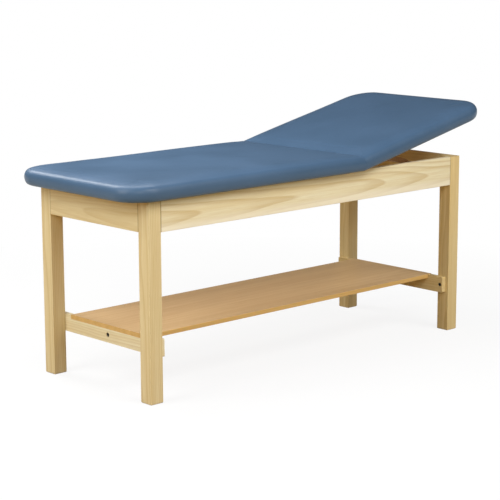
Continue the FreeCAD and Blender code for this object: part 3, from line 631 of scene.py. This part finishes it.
def outline(length, half_width, inset, crease, height, counts, dips):
    """Points round the pad at one ring: near side, end, far side, with rounded corners, and crease."""
    side_count, end_count = counts
    plane = crease_plane(height)
    end = length - inset
    half = half_width - inset
    corner = CORNER_ROUND - inset
    turns = [step / ARC_STEPS * math.pi / 2 for step in range(ARC_STEPS)]
    near_corner, far_corner = corner_arcs(end, half, corner, turns)

    def side(x):
        return half - (crease_dip(x - plane, height) if dips else 0.0)

    start = plane + crease
    points = [(x, -side(x)) for x in np.linspace(start, end - corner, side_count, endpoint=False)]
    points += near_corner
    points += [(end, y) for y in np.linspace(corner - half, half - corner, end_count, endpoint=False)]
    points += far_corner
    points += [(x, side(x)) for x in np.linspace(end - corner, start, side_count, endpoint=False)]
    across = np.linspace(side(start), -side(start), end_count + ARC_STEPS, endpoint=False)
    points += [(start, y) for y in across]
    return [Vector((x, y, height)) for x, y in points]


def fill(mesh, loop, counts, height):
    """Fill a ring with a grid of quads that follows its four sides."""
    side_count, end_count = counts
    columns = side_count + ARC_STEPS // 2
    rows = end_count + ARC_STEPS
    near = loop[: columns + 1]
    outer = loop[columns : columns + rows + 1]
    far = loop[columns + rows : 2 * columns + rows + 1][::-1]
    inner = (loop[2 * columns + rows :] + loop[:1])[::-1]
    grid = []
    for row in range(rows + 1):
        across = row / rows
        line = []
        for column in range(columns + 1):
            if row == 0:
                line.append(near[column])
            elif row == rows:
                line.append(far[column])
            elif column == 0:
                line.append(inner[row])
            elif column == columns:
                line.append(outer[row])
            else:
                along = column / columns
                sides = near[column].co * (1 - across) + far[column].co * across
                ends = inner[row].co * (1 - along) + outer[row].co * along
                corners = (
                    (near[0].co * (1 - along) + near[columns].co * along) * (1 - across)
                    + (far[0].co * (1 - along) + far[columns].co * along) * across
                )
                spot = sides + ends - corners
                spot.z = height
                line.append(mesh.verts.new(spot))
        grid.append(line)
    for lower, upper in zip(grid, grid[1:]):
        for column in range(columns):
            mesh.faces.new((lower[column], lower[column + 1], upper[column + 1], upper[column]))


def sharpen_crease(mesh):
    """Keep the edges of the pressed faces crisp, so that the two covers meet in a fine line."""
    creases = mesh.edges.layers.float.new("crease_edge")
    for edge in mesh.edges:
        pressed = all(vertex.co.x < crease_plane(vertex.co.z) + SOFT_CLEAR for vertex in edge.verts)
        if pressed and edge.calc_face_angle() > SHARP_EDGE:
            edge[creases] = 1.0
            edge.smooth = False


def pad_mesh(name, length, half_width):
    """A closed cushion with a recess for its board."""
    counts = (
        round((length - CORNER_ROUND) / MESH_PITCH),
        round((2 * half_width - 2 * CORNER_ROUND) / MESH_PITCH),
    )
    recess = BOARD_THICK + SOFT_CLEAR
    lip = PAD_WRAP - SOFT_CLEAR
    rings = [(lip, CREASE_WRAP, height, False) for height in (recess, SOFT_CLEAR)]
    rings += [(inset, crease_distance(height), height, True) for inset, height in pad_rings()]
    mesh = bmesh.new()
    loops = []
    for inset, crease, height, dips in rings:
        points = outline(length, half_width, inset, crease, height, counts, dips)
        loops.append([mesh.verts.new(point) for point in points])
    for lower, upper in zip(loops, loops[1:]):
        for index in range(len(lower)):
            after = (index + 1) % len(lower)
            mesh.faces.new((lower[index], lower[after], upper[after], upper[index]))
    fill(mesh, loops[0], counts, recess)
    fill(mesh, loops[-1], counts, PAD_THICK)
    bmesh.ops.recalc_face_normals(mesh, faces=mesh.faces)
    for face in mesh.faces:
        face.smooth = True
    sharpen_crease(mesh)
    return mesh_object(name, mesh)


def spread(data, values, fixed):
    """Even a value out over neighbouring vertices, with none at the fixed ones."""
    ends = np.zeros(len(data.edges) * 2, np.int32)
    data.edges.foreach_get("vertices", ends)
    first, second = ends.reshape(-1, 2).T
    count = len(values)
    neighbours = np.bincount(first, minlength=count) + np.bincount(second, minlength=count)
    for _ in range(CLOTH_SPREAD):
        total = np.bincount(first, values[second], count) + np.bincount(second, values[first], count)
        values = np.where(fixed, 0, (values + total / neighbours) / 2)
    return values


def swollen_shift(piece, rest, fixed):
    """How far a cloth simulation under pressure moves each vertex of the cover, held at the fixed ones."""
    held = piece.vertex_groups.new(name="held")
    held.add([int(index) for index in np.flatnonzero(fixed)], 1.0, "REPLACE")
    cloth = piece.modifiers.new("cloth", "CLOTH")
    settings = cloth.settings
    settings.vertex_group_mass = held.name
    settings.quality = CLOTH_QUALITY
    settings.mass = CLOTH_MASS
    settings.tension_stiffness = CLOTH_STIFFNESS
    settings.compression_stiffness = CLOTH_STIFFNESS
    settings.shear_stiffness = CLOTH_SHEAR
    settings.bending_stiffness = CLOTH_BENDING
    settings.use_pressure = True
    settings.uniform_pressure_force = CLOTH_PRESSURE
    settings.effector_weights.gravity = 0
    scene = bpy.context.scene
    for number in range(1, CLOTH_FRAMES + 1):
        scene.frame_set(number)
    swollen = piece.evaluated_get(bpy.context.evaluated_depsgraph_get()).to_mesh()
    shift = coordinates(swollen) - rest
    piece.modifiers.remove(cloth)
    piece.vertex_groups.remove(held)
    scene.frame_set(1)
    return shift


def inflate(piece):
    """Swell the cover a little over its foam, but not where it is stapled and creased.

    Only the outward part of the simulated shift is kept, evened out and held below a cap.
    """
    rest = coordinates(piece.data)
    low_part = rest[:, 2] < BOARD_THICK + 2 * SOFT_CLEAR
    at_crease = rest[:, 0] < crease_plane(rest[:, 2]) + CREASE_WIDTH
    fixed = low_part | at_crease
    shift = swollen_shift(piece, rest, fixed)
    outward = np.zeros(rest.size, np.float32)
    piece.data.vertices.foreach_get("normal", outward)
    outward = outward.reshape(-1, 3)
    swell = spread(piece.data, np.maximum(0, (shift * outward).sum(axis=1)), fixed)[:, None]
    set_coordinates(piece.data, rest + outward * swell * CLOTH_CAP / (CLOTH_CAP + swell))


def lift_crease(piece):
    """Raise the hidden rim beside the hinges, so that the bending pad clears the leaves."""
    points = coordinates(piece.data)
    along, across, height = points.T
    inside = np.clip(1 + (FRAME_HALF - np.abs(across)) / CREASE_WRAP, 0, 1)
    rim = (along < crease_plane(height) + CREASE_WRAP + SOFT_CLEAR) & (height < BOARD_THICK)
    points[:, 2] += np.where(rim, CREASE_LIFT * inside * (1 - height / BOARD_THICK), 0)
    set_coordinates(piece.data, points)


def subdivide(piece, levels):
    modifier = piece.modifiers.new("smooth", "SUBSURF")
    modifier.levels = levels
    modifier.render_levels = levels
    evaluated = piece.evaluated_get(bpy.context.evaluated_depsgraph_get())
    data = bpy.data.meshes.new_from_object(evaluated)
    piece.modifiers.remove(modifier)
    piece.data = data


above_hinge = Matrix.Translation((0, 0, BOARD_LEVEL))
FLAT_PLACE = Matrix.Translation(hinge) @ Matrix.Rotation(math.pi, 4, "Z") @ above_hinge
BACK_PLACE = Matrix.Translation(hinge) @ Matrix.Rotation(-REST_ANGLE, 4, "Y") @ above_hinge


def local_reach(node, place):
    """How far a node reaches along and across, in a pad's own directions."""
    back = np.array(place.inverted())
    points = coordinates(nodes[node].data) @ back[:3, :3].T + back[:3, 3]
    return points[:, 0].max(), points[:, 1].max()


def make_pad(name, node, place, material):
    length, half_width = local_reach(node, place)
    piece = pad_mesh(name, length, half_width)
    inflate(piece)
    lift_crease(piece)
    subdivide(piece, 1)
    piece.data.materials.append(material)
    piece.matrix_world = place
    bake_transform(piece)
    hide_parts(node)


# Vinyl folded under each board and stapled there
def finish_piece(name, mesh, body, place, material):
    piece = mesh_object(name, mesh)
    piece.data.materials.append(material)
    piece.matrix_world = place
    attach(piece, body)


def hem_path(length, half_width, inset):
    """A line round the three free sides at an inset, from the near crease corner to the far one."""
    end = length - inset
    half = half_width - inset
    corner = CORNER_ROUND - inset
    near_corner, far_corner = corner_arcs(end, half, corner, np.linspace(0, math.pi / 2, ARC_STEPS))
    points = [(x, -half) for x in np.arange(HEM_CLEAR, end - corner, MESH_PITCH)]
    points += near_corner
    points += [(end, y) for y in np.arange(corner - half, half - corner, MESH_PITCH)]
    points += far_corner
    points += [(x, half) for x in np.arange(end - corner, HEM_CLEAR, -MESH_PITCH)]
    return [Vector((x, y, 0)) for x, y in points]


def make_hem(name, body, node, place, material):
    """A strip of vinyl round the three free sides, with a slightly wavy cut edge."""
    length, half_width = local_reach(node, place)
    outer = hem_path(length, half_width, HEM_START)
    inner = hem_path(length, half_width, HEM_START + HEM_WIDTH)
    count = min(len(outer), len(inner))
    mesh = bmesh.new()
    loops = []
    for index in range(count):
        ripple = HEM_RIPPLE * math.sin(index * HEM_WAVE) * math.sin(index * HEM_SLOW_WAVE)
        edge = inner[round(index * (len(inner) - 1) / (count - 1))]
        start = outer[round(index * (len(outer) - 1) / (count - 1))]
        edge = edge + (edge - start).normalized() * ripple
        section = ((start, SOFT_CLEAR), (edge, -HEM_GAP), (edge, -HEM_THICK), (start, -HEM_THICK))
        loops.append([mesh.verts.new(spot + Vector((0, 0, height))) for spot, height in section])
    for first, second in zip(loops, loops[1:]):
        for corner in range(4):
            after = (corner + 1) % 4
            mesh.faces.new((first[corner], first[after], second[after], second[corner]))
    mesh.faces.new(loops[0])
    mesh.faces.new(loops[-1])
    bmesh.ops.recalc_face_normals(mesh, faces=mesh.faces)
    finish_piece(name, mesh, body, place, material)


def make_staples(name, body, node, place, material):
    """A row of wire staples along the hem, each a flat crown with its ends turned into the board."""
    length, half_width = local_reach(node, place)
    path = hem_path(length, half_width, HEM_START + STAPLE_LINE * HEM_WIDTH)
    crown = (STAPLE_WIDTH, STAPLE_WIRE * STAPLE_FLAT, STAPLE_WIRE)
    leg = (STAPLE_WIRE * STAPLE_LEG, STAPLE_WIRE * STAPLE_FLAT, STAPLE_WIRE * STAPLE_DEPTH)
    mesh = bmesh.new()
    walked = 0.0
    for before, after in zip(path, path[1:]):
        walked += (after - before).length
        if walked < STAPLE_PITCH:
            continue
        walked = 0.0
        along = (after - before).normalized()
        across = Vector((-along.y, along.x, 0))
        turned = Matrix((along, across, Vector((0, 0, 1)))).transposed().to_4x4()
        centre = (before + after) / 2 + Vector((0, 0, -HEM_THICK - STAPLE_SINK * STAPLE_WIRE))
        for shift, size in ((0, crown), (STAPLE_WIDTH / 2, leg), (-STAPLE_WIDTH / 2, leg)):
            spot = Matrix.Translation(centre + along * shift) @ turned @ Matrix.Diagonal((*size, 1))
            bmesh.ops.create_cube(mesh, size=1.0, matrix=spot)
    finish_piece(name, mesh, body, place, material)


def make_upholstery():
    cover = vinyl()
    staple_steel = metal("staple_steel", STAPLE_STEEL, roughness=0.3, stroke=(600, 600, 600))
    for body, part, place in (("frame", "flat", FLAT_PLACE), ("backrest", "backrest", BACK_PLACE)):
        make_pad(f"{part}_cushion", f"{part}_pad", place, cover)
        make_hem(f"{part}_hem", body, f"{part}_pad", place, cover)
        make_staples(f"{part}_staples", body, f"{part}_pad", place, staple_steel)


# Floor, light and camera
def make_floor():
    """White as seen, with the table's soft shadow near it, and warm in the light it throws back."""
    mesh = bmesh.new()
    bmesh.ops.create_grid(mesh, x_segments=2, y_segments=2, size=FLOOR_SIZE)
    floor = mesh_object("floor", mesh)
    material, tree, shader = new_material("floor", {"Roughness": FLOOR_ROUGHNESS})
    path = add(tree, "ShaderNodeLightPath")
    seen = math_node(tree, "MAXIMUM", path.outputs["Is Camera Ray"], path.outputs["Is Glossy Ray"])
    seen = math_node(tree, "MAXIMUM", seen, path.outputs["Is Transmission Ray"])
    tree.links.new(mix_colour(tree, seen, FLOOR_BOUNCE, FLOOR_WHITE), shader.inputs["Base Color"])
    glow = add(tree, "ShaderNodeEmission", {"Color": WHITE, "Strength": 1.0})
    away = add(tree, "ShaderNodeVectorMath", {0: object_place(tree)}, operation="LENGTH").outputs["Value"]
    near, far = SHADOW_REACH
    share = math_node(tree, "MULTIPLY", seen, map_range(tree, away, near, far, SHADOW_GLOW, 1.0))
    mixed = add(tree, "ShaderNodeMixShader", {0: share, 1: shader.outputs["BSDF"], 2: glow.outputs[0]})
    output = next(made for made in tree.nodes if made.type == "OUTPUT_MATERIAL")
    tree.links.new(mixed.outputs[0], output.inputs["Surface"])
    floor.data.materials.append(material)


def make_world():
    world = bpy.data.worlds.new("studio")
    world.use_nodes = True
    tree = world.node_tree
    tree.nodes.clear()
    glow = add(tree, "ShaderNodeBackground", {"Color": WHITE, "Strength": WORLD_STRENGTH})
    output = tree.nodes.new("ShaderNodeOutputWorld")
    tree.links.new(glow.outputs[0], output.inputs["Surface"])
    bpy.context.scene.world = world


def make_lamp(name, place, aim, size, power):
    light = bpy.data.lights.new(name, "AREA")
    light.shape = "RECTANGLE"
    light.size, light.size_y = size
    light.energy = power
    lamp = new_object(name, light)
    lamp.location = place
    lamp.rotation_euler = (Vector(aim) - Vector(place)).to_track_quat("-Z", "Y").to_euler()


def make_lights():
    """Soft lamps round the table, and a low one over the flat pad, which is brighter than the backrest."""
    centre = (0.0, 0.0, 0.5)
    pad = (-0.55, 0.05, 0.76)
    make_lamp("front", place=(0.3, -3.0, 3.6), aim=centre, size=(3.0, 1.6), power=106)
    make_lamp("front_low", place=(0.8, -4.2, 1.9), aim=centre, size=(3.0, 1.6), power=40)
    make_lamp("top", place=(-0.55, 0.15, 1.6), aim=pad, size=(1.0, 0.7), power=6.9)
    make_lamp("left", place=(-3.0, 0.3, 3.2), aim=centre, size=(1.8, 1.8), power=42)
    make_lamp("left_low", place=(-3.2, 0.2, 1.7), aim=centre, size=(1.4, 1.4), power=35)
    make_lamp("left_front", place=(-2.6, -2.8, 2.4), aim=centre, size=(1.6, 1.6), power=37)
    make_lamp("back", place=(-0.6, 2.4, 2.8), aim=centre, size=(1.6, 1.6), power=60)


def make_camera():
    camera = new_object("camera", bpy.data.cameras.new("camera"))
    camera.data.sensor_width = SENSOR_WIDTH
    camera.data.lens = FOCAL_PIXELS / IMAGE_PIXELS * SENSOR_WIDTH
    camera.data.clip_end = CAMERA_CLIP_END
    back = Vector(
        (
            math.sin(CAMERA_AZIMUTH) * math.cos(CAMERA_ELEVATION),
            -math.cos(CAMERA_AZIMUTH) * math.cos(CAMERA_ELEVATION),
            math.sin(CAMERA_ELEVATION),
        )
    )
    turn = back.to_track_quat("Z", "Y").to_matrix().to_4x4() @ Matrix.Rotation(CAMERA_ROLL, 4, "Z")
    camera.matrix_world = Matrix.Translation(CAMERA_TARGET + back * CAMERA_DISTANCE) @ turn
    bpy.context.scene.camera = camera


paint_nodes()
make_upholstery()
make_floor()
make_world()
make_lights()
make_camera()
bpy.context.scene.view_settings.view_transform = "Standard"
